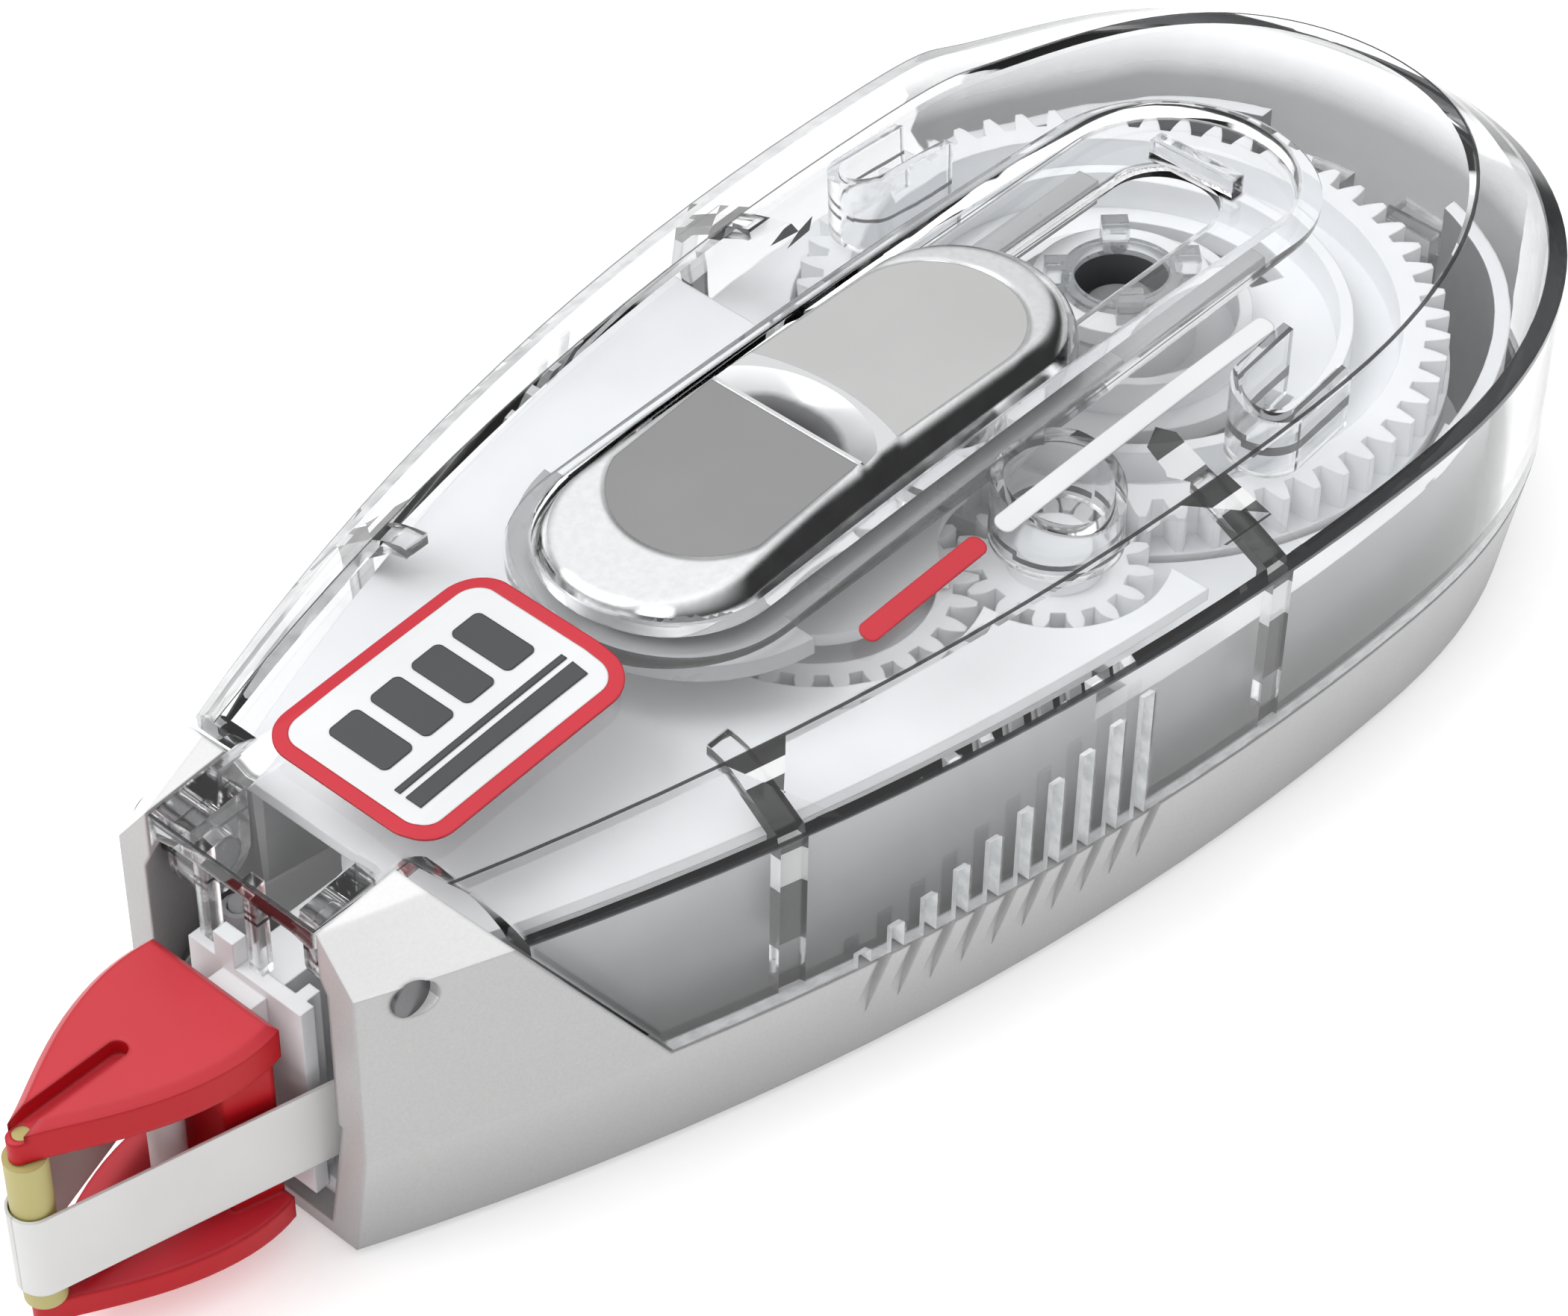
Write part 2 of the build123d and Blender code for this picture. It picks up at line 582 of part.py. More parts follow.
def cassette_plate():
    plan = case_plan(2.3, 6.0)
    plate = extrude(at_z(plan, Z_PLATE0), Z_PLATE1 - Z_PLATE0)
    plate = plate - block(40, 90, -20, 20, 0, 20)
    plate = plate - rod(SUPPLY_X, 0, 15.5, 10, 20) - rod(IDLER_X, IDLER_Y, 4.8, 10, 20)
    for cut in arc_slots(TAKEUP_X, TAKEUP_Y, 4.2, 7.2, 10, 20, 1, 120, 245):
        plate = plate - cut
    return plate


def head_plan():
    """Leaf-shaped plan of the head's plates: convex sides from a wide back to a small round tip."""
    pts = [(-1.2, 3.45), (-3.4, 3.6), (-5.2, 3.25), (-7.2, 2.5), (-9.2, 1.45), (-11.1, 0.42)]
    upper = Spline(*pts, tangents=[(-0.97, 0.24), (-0.9, -0.44)])
    lower = mirror(upper, Plane.XZ)
    tip = ThreePointArc((-11.1, 0.42), (-11.45, 0), (-11.1, -0.42))
    back = Line((-1.2, -3.45), (-1.2, 3.45))
    return make_face([upper, tip, lower, back])


def tip_head():
    upper = extrude(at_z(head_plan(), 11.2), HEAD_Z1 - 11.2)
    lower = extrude(at_z(head_plan(), HEAD_Z0), 1.5)
    top_rim = upper.faces().sort_by(Axis.Z)[-1].edges()
    upper = chamfer(top_rim, 0.35)
    foot_rim = lower.faces().sort_by(Axis.Z)[0].edges()
    lower = chamfer(foot_rim, 0.35)
    wall_plan = Polyline((-1.2, 2.9), (-3.3, 2.3), (-3.3, -2.3), (-1.2, -2.9), close=True)
    wall = extrude(at_z(make_face(wall_plan), 2.5), 9.5)
    rib = block(-9.4, -6.4, -0.6, 0.6, 3.0, 3.8)
    root = block(-1.3, -0.95, -0.8, 0.8, 2.5, 12)
    head = upper + lower + wall + rib + root
    head = head - stadium_x(-11.9, -6.1, 0.45, HEAD_Z1 - 0.7, HEAD_Z1 + 1)
    head = head - rod(TIP_X, 0, 0.36, 0, 20)
    return head


def stadium_x(x0, x1, r, z0, z1):
    face = Pos((x0 + x1) / 2, 0, z0) * SlotCenterToCenter(x1 - x0, 2 * r)
    return extrude(face, z1 - z0)


def tip_post():
    """White post between the head's two plates."""
    return rod(-4.3, 0, 0.75, HEAD_Z0 + 1.5, 11.2)


def tip_axle():
    return rod(TIP_X, 0, 0.36, 2.2, HEAD_Z1 - 0.7)


def tip_roller():
    return tube(TIP_X, 0, 0.36 + FIT, TIP_R, 3.2, 11.1)


def guide_roller(spot):
    x, y, r = spot
    return tube(x, y, 0.4 + FIT, r, 3.3, 9.3)


def tangent_run(c0, r0, s0, c1, r1, s1):
    """Straight run touching circle 0 on side s0 and circle 1 on side s1 (+1 left, -1 right)."""
    dx = c1[0] - c0[0]
    dy = c1[1] - c0[1]
    gap = hypot(dx, dy)
    bearing = atan2(dy, dx)
    offset = (s1 * r1 - s0 * r0) / gap
    heading = bearing + atan2(offset, sqrt(1 - offset ** 2))
    nx = -sin(heading)
    ny = cos(heading)
    start = (c0[0] + s0 * r0 * nx, c0[1] + s0 * r0 * ny)
    end = (c1[0] + s1 * r1 * nx, c1[1] + s1 * r1 * ny)
    return start, end


def shifted(piece, d):
    """One piece of the tape's path moved sideways by d, to the left of travel."""
    kind, a, b = piece[:3]
    if kind == "line":
        heading = atan2(b[1] - a[1], b[0] - a[0])
        nx = -d * sin(heading)
        ny = d * cos(heading)
        return Line((a[0] + nx, a[1] + ny), (b[0] + nx, b[1] + ny))
    centre, r, turn = piece[3:]
    t0 = atan2(a[1] - centre[1], a[0] - centre[0])
    t1 = atan2(b[1] - centre[1], b[0] - centre[0])
    if turn * (t1 - t0) < 0:
        t1 = t1 + turn * 2 * pi
    radius = r - turn * d
    spots = [(centre[0] + radius * cos(t), centre[1] + radius * sin(t)) for t in (t0, (t0 + t1) / 2, t1)]
    return ThreePointArc(*spots)


def ribbon(path):
    """Tape of constant thickness standing on edge along a plan path of lines and arcs."""
    left = [shifted(piece, TAPE_T / 2) for piece in path]
    right = [shifted(piece, -TAPE_T / 2) for piece in path]
    start = Line(left[0] @ 0, right[0] @ 0)
    end = Line(left[-1] @ 1, right[-1] @ 1)
    return extrude(at_z(make_face(left + right + [start, end]), TAPE_Z0), TAPE_W)


def tape_runs():
    """The two runs of tape in plan: supply pack to tip, and tip to take-up reel."""
    clear = 0.06 + TAPE_T / 2
    pack = ((SUPPLY_X, 0), PACK_R + clear)
    out = (GUIDE_OUT[:2], GUIDE_OUT[2] + clear)
    near = (GUIDE_NEAR[:2], GUIDE_NEAR[2] + clear)
    tip = ((TIP_X, 0), TIP_R + clear)
    far = (GUIDE_FAR[:2], GUIDE_FAR[2] + clear)
    used = ((TAKEUP_X, TAKEUP_Y), USED_R + clear)
    a = tangent_run(*pack, 1, *out, 1)
    b = tangent_run(*out, 1, *near, -1)
    c = tangent_run(*near, -1, *tip, 1)
    d = tangent_run(*tip, 1, *far, 1)
    e = tangent_run(*far, 1, *used, 1)
    mid_tip = (TIP_X - tip[1], 0)
    fed = [("line", *a), ("arc", a[1], b[0], *out, -1), ("line", *b), ("arc", b[1], c[0], *near, 1),
           ("line", *c), ("arc", c[1], mid_tip, *tip, -1)]
    back = [("arc", mid_tip, d[0], *tip, -1), ("line", *d), ("arc", d[1], e[0], *far, -1), ("line", *e)]
    return fed, back


def tape_out():
    fed, back = tape_runs()
    return ribbon(fed)


def tape_return():
    fed, back = tape_runs()
    return ribbon(back)


NODES = {
    "bottom_shell": bottom_shell,
    "hinge_pins": hinge_pins,
    "top_cover": top_cover,
    "label_field": label_field,
    "label_border": label_border,
    "label_bars": label_bars,
    "print_bar_red": lambda: print_bar(25.0, 32.2, -9.2),
    "print_bar_white": lambda: print_bar(33.2, 51.0, -9.2),
    "slider_button": slider_button,
    "slider_front_pad": lambda: pad(front_plan()),
    "slider_rear_pad": lambda: pad(rear_plan()),
    "slider_skirt": slider_skirt,
    "slider_fork": slider_fork,
    "cassette_base": cassette_base,
    "cassette_plate": cassette_plate,
    "supply_gear": supply_gear,
    "supply_spool": supply_spool,
    "clutch_spring": clutch_spring,
    "supply_tape": supply_tape,
    "hub_ring": hub_ring,
    "idler_gear": idler_gear,
    "idler_cap": idler_cap,
    "takeup_gear": takeup_gear,
    "takeup_spool": takeup_spool,
    "takeup_tape": takeup_tape,
    "guide_roller_out": lambda: guide_roller(GUIDE_OUT),
    "guide_roller_near": lambda: guide_roller(GUIDE_NEAR),
    "guide_roller_far": lambda: guide_roller(GUIDE_FAR),
    "tape_out": tape_out,
    "tape_return": tape_return,
    "tip_head": tip_head,
    "tip_post": tip_post,
    "tip_axle": tip_axle,
    "tip_roller": tip_roller,
}

os.makedirs("parts", exist_ok=True)
for name, make in NODES.items():
    export_step(Pos(-SUPPLY_X, 0, 0) * make(), "parts/" + name + ".step")
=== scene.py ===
import json
import math

import bpy
import bmesh
from mathutils import Matrix, Vector

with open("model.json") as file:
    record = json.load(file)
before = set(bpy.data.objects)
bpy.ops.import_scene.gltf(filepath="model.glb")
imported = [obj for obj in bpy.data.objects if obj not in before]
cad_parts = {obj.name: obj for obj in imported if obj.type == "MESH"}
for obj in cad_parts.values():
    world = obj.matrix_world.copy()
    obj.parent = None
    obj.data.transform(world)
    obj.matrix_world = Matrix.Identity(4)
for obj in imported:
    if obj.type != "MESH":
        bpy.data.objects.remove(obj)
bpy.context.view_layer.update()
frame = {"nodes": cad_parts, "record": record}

NODES = frame["nodes"]
MM = 0.001


# ---------------------------------------------------------------- node helpers

class Shader:
    """A material under construction: its node tree and the few links every surface here needs."""

    def __init__(self, name):
        self.material = bpy.data.materials.new(name)
        self.material.use_nodes = True
        self.nodes = self.material.node_tree.nodes
        self.links = self.material.node_tree.links
        self.nodes.clear()
        self.output = self.nodes.new("ShaderNodeOutputMaterial")
        self.coords = self.nodes.new("ShaderNodeTexCoord").outputs["Object"]

    def add(self, kind, **inputs):
        node = self.nodes.new(kind)
        for key, value in inputs.items():
            socket = node.inputs[key.replace("_", " ")]
            if isinstance(value, bpy.types.NodeSocket):
                self.links.new(value, socket)
            else:
                socket.default_value = value
        return node

    def noise(self, size, detail=3.0, stretch=(1, 1, 1)):
        """Noise value with features about `size` metres across."""
        mapping = self.add("ShaderNodeMapping", Vector=self.coords)
        mapping.inputs["Scale"].default_value = [s / size for s in stretch]
        node = self.add("ShaderNodeTexNoise", Vector=mapping.outputs[0], Scale=1.0, Detail=detail)
        return node.outputs["Fac"]

    def ramp(self, value, stops, blend="LINEAR"):
        node = self.add("ShaderNodeValToRGB", Fac=value)
        ramp = node.color_ramp
        ramp.interpolation = blend
        while len(ramp.elements) < len(stops):
            ramp.elements.new(0.5)
        for element, (place, colour) in zip(ramp.elements, stops):
            element.position = place
            element.color = (*colour, 1.0)
        return node.outputs["Color"]

    def bump(self, height, strength, distance, under):
        return self.add("ShaderNodeBump", Height=height, Strength=strength, Distance=distance,
                        Normal=under).outputs["Normal"]

    def soft_edge(self, radius):
        node = self.add("ShaderNodeBevel", Radius=radius)
        node.samples = 4
        return node.outputs["Normal"]

    def place(self):
        return self.add("ShaderNodeSeparateXYZ", Vector=self.coords).outputs

    def math(self, kind, *values):
        node = self.nodes.new("ShaderNodeMath")
        node.operation = kind
        for socket, value in zip(node.inputs, values):
            if isinstance(value, bpy.types.NodeSocket):
                self.links.new(value, socket)
            else:
                socket.default_value = value
        return node.outputs[0]

    def clamp(self, value):
        return self.math("MINIMUM", self.math("MAXIMUM", value, 0.0), 1.0)

    def mix(self, share, first, second):
        node = self.nodes.new("ShaderNodeMixShader")
        if isinstance(share, bpy.types.NodeSocket):
            self.links.new(share, node.inputs[0])
        else:
            node.inputs[0].default_value = share
        self.links.new(first, node.inputs[1])
        self.links.new(second, node.inputs[2])
        return node.outputs[0]

    def principled(self, **inputs):
        return self.add("ShaderNodeBsdfPrincipled", **inputs)

    def done(self, shader):
        self.links.new(shader, self.output.inputs["Surface"])
        return self.material


def plastic(name, colour, roughness, spread=0.04, grain=0.25 * MM, bump=0.12, edge=0.12 * MM, **extra):
    """Moulded plastic with a slight colour drift, fine grain, uneven roughness and soft edges."""
    s = Shader(name)
    dark = tuple(c * (1 - spread) for c in colour)
    light = tuple(min(1.0, c * (1 + spread)) for c in colour)
    tint = s.ramp(s.noise(9 * MM), [(0.35, dark), (0.65, light)])
    rough = s.ramp(s.noise(2.5 * MM), [(0.3, (roughness * 0.85,) * 3), (0.7, (roughness * 1.15,) * 3)])
    normal = s.bump(s.noise(grain, 2.0), bump, 0.02 * MM, s.soft_edge(edge))
    shader = s.principled(Base_Color=tint, Roughness=rough, Normal=normal)
    for key, value in extra.items():
        shader.inputs[key.replace("_", " ")].default_value = value
    return s.done(shader.outputs[0])


def clear_glass(s, tint, edge=0.3 * MM, rough=0.01):
    """Polished clear plastic that refracts, and lets shadow rays through so the inside stays lit."""
    under = s.soft_edge(edge) if edge else s.add("ShaderNodeNewGeometry").outputs["Normal"]
    normal = s.bump(s.noise(14 * MM, 1.0), 0.05, 0.3 * MM, under)
    glass = s.principled(Base_Color=(*tint, 1.0), Roughness=rough, IOR=1.49, Normal=normal)
    glass.inputs["Transmission Weight"].default_value = 1.0
    through = s.add("ShaderNodeBsdfTransparent", Color=(0.985, 0.987, 0.99, 1.0))
    ray = s.nodes.new("ShaderNodeLightPath").outputs["Is Shadow Ray"]
    return s.mix(ray, glass.outputs[0], through.outputs[0])


def clear_plastic(name, tint, edge=0.3 * MM):
    s = Shader(name)
    return s.done(clear_glass(s, tint, edge))


def clear_shell():
    """The cover's plastic, with a painted dark line along its thick shoulder edge and plateau edge,
    standing in for the dark reflections of these edges.
    """
    s = Shader("clear_cover")
    glass = clear_glass(s, (0.985, 0.99, 0.995))
    x, y, z = s.place()
    off_shoulder = s.math("ABSOLUTE", s.math("SUBTRACT", z, 15.3 * MM))
    towards_tail = s.math("MAXIMUM", s.math("MULTIPLY_ADD", x, 14.0, 0.5), 0.0)
    near_side = s.clamp(s.math("MULTIPLY_ADD", y, -90.0, 0.4))
    swell = s.math("MULTIPLY", s.math("POWER", towards_tail, 2.0), near_side)
    shoulder = s.math("LESS_THAN", off_shoulder, s.math("MULTIPLY_ADD", swell, 0.75 * MM, 0.09 * MM))
    off_plateau = s.math("ABSOLUTE", s.math("SUBTRACT", z, 17.68 * MM))
    plateau = s.math("LESS_THAN", off_plateau, 0.035 * MM)
    line = s.math("MAXIMUM", shoulder, plateau)
    # Painted shade: a near-black line on the glass at the shoulder and plateau heights, wider towards the
    # tail on the near side.
    painted_edge_shade = s.principled(Base_Color=(0.01, 0.011, 0.013, 1.0), Roughness=0.15)
    return s.done(s.mix(s.math("MULTIPLY", line, 0.9), glass, painted_edge_shade.outputs[0]))


def rib_band():
    """Inner faces of the cover's ribs: clear, with painted dark and bright reflection panels of a polished
    rib.
    """
    s = Shader("clear_rib")
    glass = clear_glass(s, (0.97, 0.975, 0.98))
    height = s.math("MULTIPLY_ADD", s.place()[2], 1 / (12 * MM), -0.5)
    dark, pale, open_ = (0.012,) * 3, (0.9,) * 3, (0.4,) * 3
    painted_reflection_bands = [(0.0, dark, 0.9), (0.10, open_, 0.0), (0.24, dark, 0.8), (0.51, pale, 0.6),
             (0.66, dark, 0.95), (0.80, open_, 0.05), (0.87, dark, 0.85), (0.905, pale, 0.75),
             (0.935, dark, 0.95)]
    # Painted reflections: dark and bright bands by height, each covering part of the glass.
    colour = s.ramp(height, [(place, tone) for place, tone, cover in painted_reflection_bands], "CONSTANT")
    cover = s.ramp(height, [(place, (cover,) * 3) for place, tone, cover in painted_reflection_bands], "CONSTANT")
    face = s.principled(Base_Color=colour, Roughness=0.12)
    return s.done(s.mix(cover, glass, face.outputs[0]))


def painted_cover_end_shade():
    """Grey painted shade inside the cover's round end, fading out towards the top. It stands in for a
    shaded wall that the cassette lacks there.
    """
    s = Shader("clear_tail")
    glass = clear_glass(s, (0.985, 0.99, 0.995), 0.0)
    height = s.math("MULTIPLY_ADD", s.noise(6 * MM), 0.8 * MM, s.place()[2])
    share = s.ramp(s.math("DIVIDE", height, 15 * MM), [(0.8, (0.8,) * 3), (0.97, (0.0,) * 3)])
    shade = s.principled(Base_Color=(0.24, 0.245, 0.255, 1.0), Roughness=0.3)
    return s.done(s.mix(share, glass, shade.outputs[0]))


def clear_with_painted_highlight(name, share):
    """Cut or moulded edge of clear plastic with a painted highlight: glass mixed with a pale diffuse white
    that makes it look bright.
    """
    s = Shader(name)
    glass = clear_glass(s, (0.98, 0.985, 0.99), 0.1 * MM, 0.15)
    tone = s.ramp(s.noise(0.8 * MM), [(0.35, (0.72, 0.74, 0.75)), (0.6, (0.95, 0.96, 0.97))])
    painted_white_highlight = s.principled(Base_Color=tone, Roughness=0.2)
    return s.done(s.mix(share, glass, painted_white_highlight.outputs[0]))


def cassette_flank_painted_shade():
    """Outer side of the cassette wall, in the closed gap behind the clear side, with painted shade: pale
    above, dark below, and darker towards the tail.
    """
    s = Shader("cassette_flank_painted_shade")
    x, y, z = s.place()
    drift = s.math("MULTIPLY", s.noise(7 * MM), 3.0 * MM)
    height = s.math("DIVIDE", s.math("ADD", z, drift), 15 * MM)
    tone = s.ramp(height, [(0.1, (0.012, 0.013, 0.014)), (0.4, (0.06, 0.062, 0.066)),
                           (0.75, (0.22, 0.225, 0.235)), (1.0, (0.45, 0.455, 0.46))])
    shade = s.principled(Base_Color=(0.02, 0.021, 0.023, 1.0), Roughness=0.3)
    shader = s.principled(Base_Color=tone, Roughness=0.35)
    # Painted shade: a near-black mixed in towards the tail.
    towards_tail = s.clamp(s.math("MULTIPLY_ADD", x, 18.0, 0.35))
    return s.done(s.mix(s.math("MULTIPLY", towards_tail, 0.6), shader.outputs[0], shade.outputs[0]))


def satin_silver(name, painted_light_lift=0.0):
    s = Shader(name)
    flake = s.noise(0.14 * MM, 2.0)
    # painted_light_lift lightens the whole tone, for a lit copy of the silver.
    fine = s.math("MULTIPLY_ADD", flake, 0.09, 0.44 + painted_light_lift)
    # Painted shade: the silver gets up to 30% darker towards the bottom of the case, below 6 mm.
    painted_low_shade = s.clamp(s.math("MULTIPLY_ADD", s.place()[2], -1 / (6 * MM), 1.0))
    tint = s.math("MULTIPLY", fine, s.math("MULTIPLY_ADD", painted_low_shade, -0.3, 1.0))
    rough = s.ramp(s.noise(3 * MM), [(0.3, (0.36,) * 3), (0.7, (0.42,) * 3)])
    normal = s.bump(flake, 0.08, 0.02 * MM, s.soft_edge(0.25 * MM))
    shader = s.principled(Base_Color=tint, Roughness=rough, Normal=normal, Metallic=0.15)
    return s.done(shader.outputs[0])


def scoop_chrome():
    """Chrome of the thumb scoop, in the shade of the crest at its foot."""
    s = Shader("scoop_chrome")
    height = s.math("MULTIPLY_ADD", s.place()[2], 1 / (1.0 * MM), -19.65)
    drift = s.math("MULTIPLY_ADD", s.noise(1.5 * MM), 0.12, -0.06)
    tone = s.ramp(s.math("ADD", height, drift), [(0.1, (0.03, 0.03, 0.032)), (0.38, (0.16, 0.16, 0.165)),
                                                 (0.5, (0.55, 0.56, 0.57)), (0.9, (0.80, 0.81, 0.82))])
    shader = s.principled(Base_Color=tone, Roughness=0.16, Metallic=0.85)
    return s.done(shader.outputs[0])


def metal(name, colour, roughness, grain=(1, 1, 1), edge=0.15 * MM):
    s = Shader(name)
    line = s.noise(0.35 * MM, 2.0, grain)
    tint = s.ramp(line, [(0.3, tuple(c * 0.93 for c in colour)), (0.7, colour)])
    rough = s.ramp(s.noise(1.2 * MM), [(0.3, (roughness * 0.8,) * 3), (0.7, (roughness * 1.2,) * 3)])
    normal = s.bump(line, 0.03, 0.01 * MM, s.soft_edge(edge))
    shader = s.principled(Base_Color=tint, Roughness=rough, Metallic=1.0, Normal=normal)
    return s.done(shader.outputs[0])


MATERIALS = {
    "silver": satin_silver("satin_silver"),
    "steel": metal("turned_steel", (0.17, 0.17, 0.175), 0.3, (1, 8, 1)),
    "clear": clear_shell(),
    "hub_clear": clear_plastic("clear_hub", (0.97, 0.98, 0.985)),
    "label_white": plastic("printed_pale", (0.76, 0.77, 0.78), 0.35),
    "label_red": plastic("printed_red", (0.56, 0.018, 0.035), 0.35),
    "label_grey": plastic("printed_grey", (0.055, 0.057, 0.06), 0.4),
    "chrome": metal("satin_chrome", (0.86, 0.87, 0.88), 0.09, edge=0.5 * MM),
    "pad_grey": plastic("pad_grey", (0.25, 0.25, 0.25), 0.5, bump=0.2, grain=0.18 * MM),
    "pad_light": plastic("pad_light", (0.47, 0.47, 0.468), 0.5, bump=0.2, grain=0.18 * MM),
    "skirt_grey": plastic("skirt_grey", (0.36, 0.365, 0.375), 0.3),
    "white": plastic("white_plastic", (0.80, 0.81, 0.825), 0.35),
    "clutch": plastic("clutch_plastic", (0.60, 0.60, 0.58), 0.5),
    "tape": plastic("tape_white", (0.68, 0.68, 0.675), 0.55, bump=0.05),
    "carrier": plastic("carrier_paper", (0.60, 0.60, 0.58), 0.45, bump=0.05),
    "red": plastic("red_plastic", (0.56, 0.022, 0.036), 0.4, edge=0.3 * MM,
                   Coat_Weight=0.1, Coat_Roughness=0.15),
    "olive": plastic("olive_rubber", (0.45, 0.40, 0.15), 0.5),
}

for part in frame["record"]["subparts"]:
    shown = NODES[part["node"]]
    shown.data.materials.clear()
    shown.data.materials.append(MATERIALS[part["material_slot"]])


# ---------------------------------------------------------------- faces with a finish of their own, or with painted light or shade

# case plan in millimetres, X from the mouth; the frame's origin is the supply reel's axis
ORIGIN_X = 52.9
X_WIDE, HALF_WIDTH, TAIL, FLANK_R, TAIL_POWER = 52.0, 17.6, 22.2, 126.0, 2.25
GRIP_X0, GRIP_STEP, GRIP_COUNT = 20.5, 1.55, 10
RIB_FIRST, RIB_SECOND, RIB_REACH = 17.8, 42.6, 0.7
RIM_Z, SHOULDER_Z = 6.3, 15.3


def outside_inset(x, y, inset):
    """True where a point is nearer to the case's outline than inset."""
    if x > X_WIDE:
        along = (x - X_WIDE) / (TAIL - inset)
        across = abs(y) / (HALF_WIDTH - inset)
        return along ** TAIL_POWER + across ** TAIL_POWER > 1
    return abs(y) > HALF_WIDTH - FLANK_R + math.sqrt((FLANK_R - inset) ** 2 - (x - X_WIDE) ** 2)


def repaint(node, material, chosen):
    """Gives the faces of a node that chosen(x, y, z, normal) picks a material of their own: a finish,
    painted light or painted shade.
    """
    mesh = NODES[node].data
    mesh.materials.append(material)
    slot = len(mesh.materials) - 1
    for face in mesh.polygons:
        x, y, z = (c / MM for c in face.center)
        if chosen(x + ORIGIN_X, y, z, face.normal):
            face.material_index = slot


def on_cassette_side(x, y, z, normal):
    return abs(normal.z) < 0.3 and x > 6.5 and outside_inset(x, y, 2.65)


def on_cover_inside(x, y, z, normal):
    outward = normal.x * max(0.0, x - X_WIDE) + normal.y * y
    return normal.z < -0.2 or (abs(normal.z) <= 0.2 and outward < 0)


def on_rib(x, y, z, normal):
    near_rib = min(abs(x - RIB_FIRST), abs(x - RIB_SECOND)) < RIB_REACH
    return near_rib and abs(y) > 8 and not (outside_inset(x, y, 0.6) or z > 17.6)


def on_grip_slit(x, y, z, normal):
    offset = (x - GRIP_X0 + 0.5 * GRIP_STEP) % GRIP_STEP - 0.5 * GRIP_STEP
    in_row = GRIP_X0 - 0.5 < x < GRIP_X0 + GRIP_STEP * (GRIP_COUNT - 1) + 0.5
    cut = abs(normal.x) > 0.8 or not outside_inset(x, y, 0.3) or abs(normal.z) > 0.8
    return in_row and abs(offset) < 0.33 and outside_inset(x, y, 0.62) and z < 15 and cut


def on_hub_bore(x, y, z, normal):
    return math.hypot(x - ORIGIN_X, y) < 2.3 and 12.9 < z < 14.79


def on_axle_end(x, y, z, normal):
    return math.hypot(x - ORIGIN_X, y) < 1.6 and z > 12.0


def on_rim(x, y, z, normal):
    return normal.z < -0.9 and z < RIM_Z + 0.7 and outside_inset(x, y, 1.6)


def on_tail_inside(x, y, z, normal):
    in_end = x > 57.5 and z < 13.2
    return in_end and abs(normal.z) < 0.95 and not outside_inset(x, y, 1.5)


def on_cover_tail(x, y, z, normal):
    in_end = x > 58 and y > -9 and z < SHOULDER_Z - 0.1
    return in_end and abs(normal.z) < 0.7 and on_cover_inside(x, y, z, normal)


def on_head_side(x, y, z, normal):
    return abs(normal.z) < 0.6


def on_cheek_top(x, y, z, normal):
    return x < 12 and z > 12 and normal.z > 0.4


def on_button_side(x, y, z, normal):
    return abs(normal.z) < 0.45 and abs(normal.y) > 0.6 and z > 18


def on_scoop(x, y, z, normal):
    return 30.7 < x < 33.65 and z > 19.6 and abs(y) < 4.6 and normal.z > 0.2


# Painted light: a lighter copy of the silver on the cheeks' top faces.
repaint("bottom_shell", satin_silver("satin_silver_painted_light", 0.34), on_cheek_top)
repaint("cassette_base", plastic("tail_shade", (0.20, 0.205, 0.215), 0.4), on_tail_inside)
# Painted shade: the red head's sides get a darker, less glossy copy of the red.
repaint("tip_head", plastic("red_side_painted_shade", (0.46, 0.006, 0.012), 0.42, edge=0.3 * MM, Specular_IOR_Level=0.2),
        on_head_side)
# Painted shade: the button's sides get a darker grey copy of the chrome.
repaint("slider_button", plastic("chrome_side_painted_shade", (0.34, 0.345, 0.35), 0.22, Metallic=0.3), on_button_side)
repaint("slider_button", scoop_chrome(), on_scoop)
# Painted shade on the outer side of the cassette wall.
repaint("cassette_base", cassette_flank_painted_shade(), on_cassette_side)
repaint("top_cover", clear_plastic("clear_inside", (0.985, 0.99, 0.995), 0.0), on_cover_inside)
# Painted shade: grey on the inside of the cover's round end.
repaint("top_cover", painted_cover_end_shade(), on_cover_tail)
repaint("top_cover", rib_band(), on_rib)
# Painted highlights: bright white on the grip slits' cut faces and on the cover's rim.
repaint("top_cover", clear_with_painted_highlight("clear_slit", 0.75), on_grip_slit)
repaint("top_cover", clear_with_painted_highlight("clear_rim", 0.85), on_rim)
repaint("supply_gear", plastic("hub_bore_shade", (0.07, 0.072, 0.075), 0.4), on_hub_bore)
repaint("cassette_base", plastic("axle_end_shade", (0.22, 0.222, 0.225), 0.4), on_axle_end)


# ---------------------------------------------------------------- floor, light, camera

def pale_floor():
    half, below = 1.6, -0.02 * MM
    mesh = bpy.data.meshes.new("floor")
    shape = bmesh.new()
    plan = ((-half, -half), (half, -half), (half, half), (-half, half))
    shape.faces.new([shape.verts.new((x, y, below)) for x, y in plan])
    shape.to_mesh(mesh)
    shape.free()
    floor = bpy.data.objects.new("floor", mesh)
    bpy.context.scene.collection.objects.link(floor)
    mesh.materials.append(plastic("pale_floor", (0.93, 0.93, 0.93), 0.7, spread=0.01, bump=0.02,
                                  Emission_Color=(1, 1, 1, 1), Emission_Strength=0.3))


def area_light(name, place, target, size, power):
    data = bpy.data.lights.new(name, "AREA")
    data.shape = "RECTANGLE"
    data.size, data.size_y = size
    data.energy = power
    lamp = bpy.data.objects.new(name, data)
    lamp.location = place
    lamp.rotation_mode = "QUATERNION"
    lamp.rotation_quaternion = (Vector(target) - Vector(place)).to_track_quat("-Z", "Y")
    bpy.context.scene.collection.objects.link(lamp)


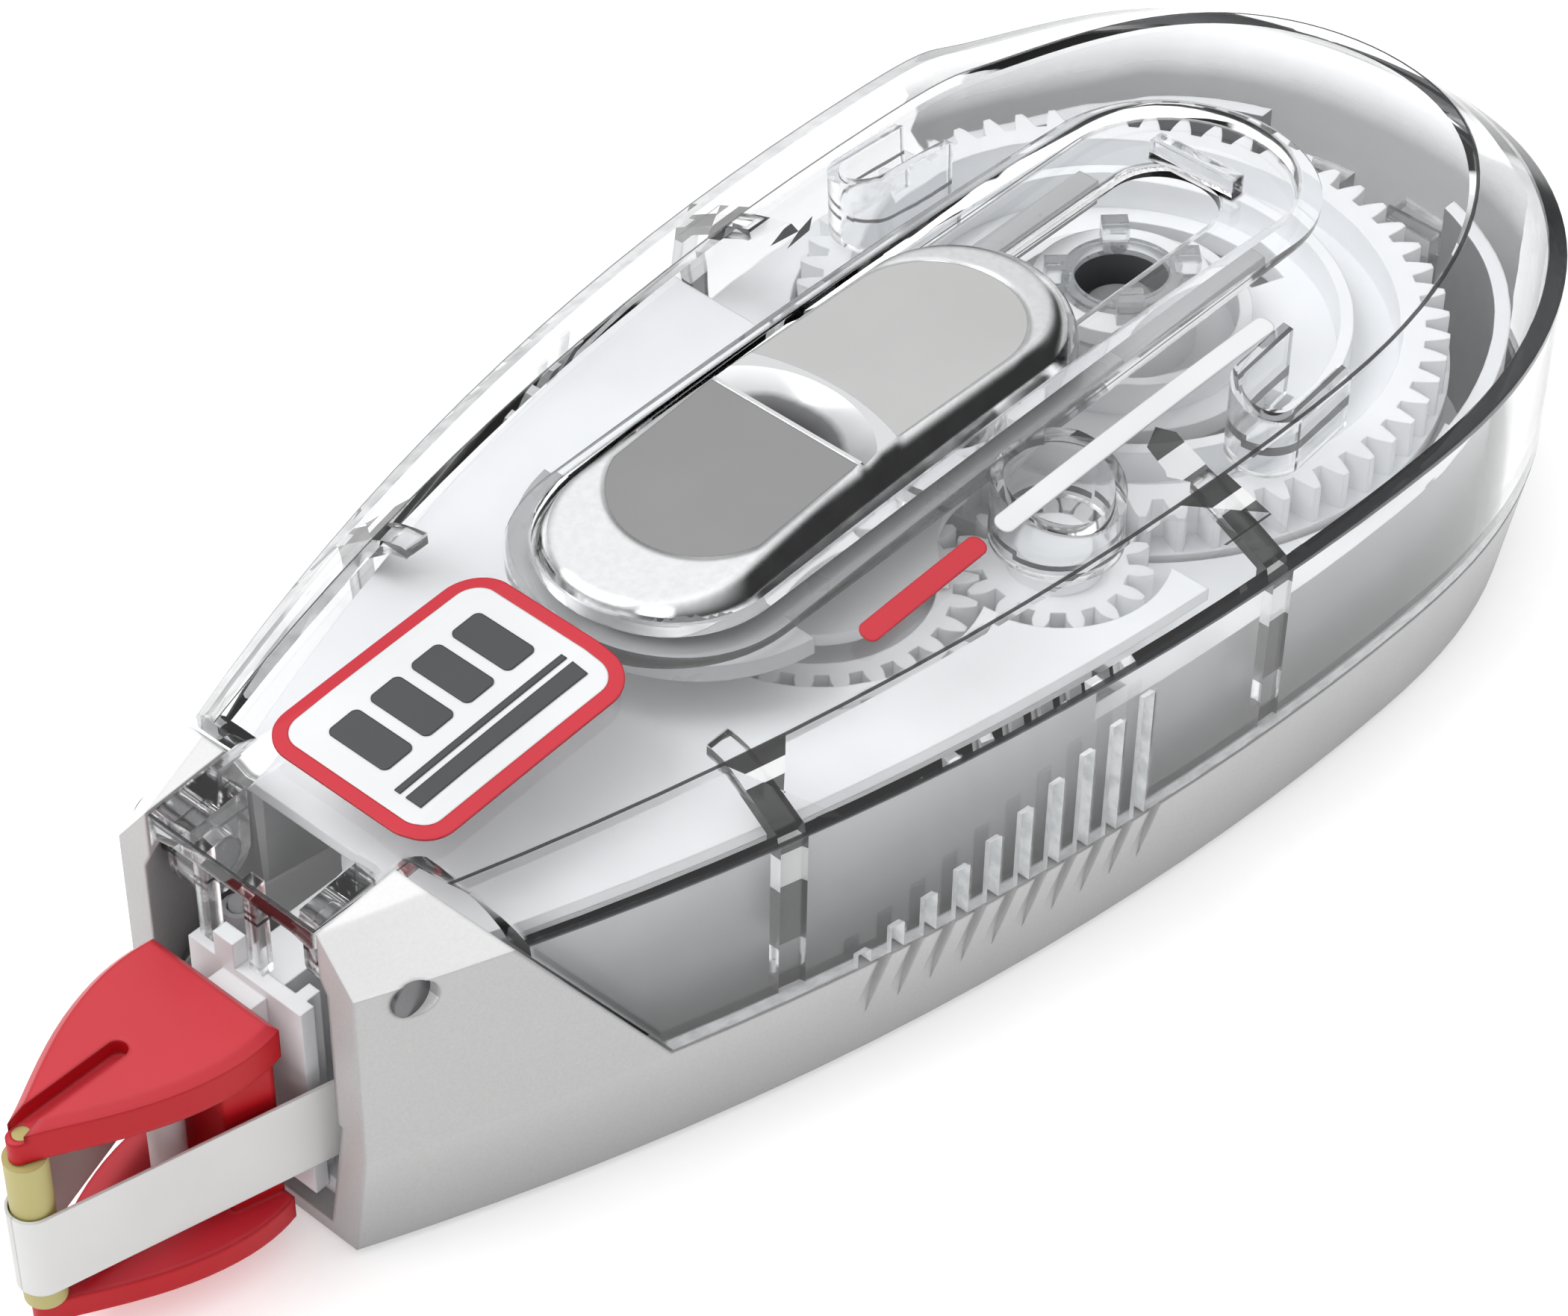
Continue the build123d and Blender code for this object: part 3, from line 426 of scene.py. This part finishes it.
def studio_world():
    world = bpy.data.worlds.new("studio")
    bpy.context.scene.world = world
    world.use_nodes = True
    tree = world.node_tree
    tree.nodes.clear()
    coords = tree.nodes.new("ShaderNodeTexCoord")
    split = tree.nodes.new("ShaderNodeSeparateXYZ")
    ramp = tree.nodes.new("ShaderNodeValToRGB")
    back = tree.nodes.new("ShaderNodeBackground")
    out = tree.nodes.new("ShaderNodeOutputWorld")
    tree.links.new(coords.outputs["Generated"], split.inputs[0])
    tree.links.new(split.outputs["Z"], ramp.inputs["Fac"])
    tree.links.new(ramp.outputs["Color"], back.inputs["Color"])
    tree.links.new(back.outputs[0], out.inputs["Surface"])
    stops = [(0.0, 0.5), (0.05, 0.03), (0.18, 0.05), (0.4, 0.65), (0.7, 1.25), (1.0, 1.6)]
    while len(ramp.color_ramp.elements) < len(stops):
        ramp.color_ramp.elements.new(0.5)
    for element, (place, value) in zip(ramp.color_ramp.elements, stops):
        element.position = place
        element.color = (value, value, value, 1)
    back.inputs["Strength"].default_value = 0.8


def camera(azimuth, elevation, roll, place, focal):
    """Camera looking down on the nose; the focal length is a share of the image width."""
    a, e, r = map(math.radians, (azimuth, elevation, roll))
    back = Vector((math.sin(a) * math.cos(e), -math.cos(a) * math.cos(e), math.sin(e)))
    right = (-back).cross(Vector((0, 0, 1))).normalized()
    up = right.cross(-back)
    right, up = right * math.cos(r) + up * math.sin(r), up * math.cos(r) - right * math.sin(r)
    data = bpy.data.cameras.new("camera")
    data.sensor_fit = "HORIZONTAL"
    data.sensor_width = 36.0
    data.lens = focal * data.sensor_width
    data.clip_start, data.clip_end = 0.01, 20
    cam = bpy.data.objects.new("camera", data)
    cam.matrix_world = Matrix(((right.x, up.x, back.x, place[0]), (right.y, up.y, back.y, place[1]),
                               (right.z, up.z, back.z, place[2]), (0, 0, 0, 1)))
    bpy.context.scene.collection.objects.link(cam)
    bpy.context.scene.camera = cam


pale_floor()
studio_world()
area_light("key", (-0.25, 0.25, 0.5), (0, 0, 0), (0.35, 0.35), 1.3)
area_light("front", (-0.5, -0.35, 0.25), (0, 0, 0), (0.3, 0.2), 0.35)
camera(azimuth=-48.870, elevation=42.982, roll=1.064,
       place=(-0.124993, -0.089919, 0.134782), focal=2.815861)
bpy.context.scene.view_settings.view_transform = "Standard"
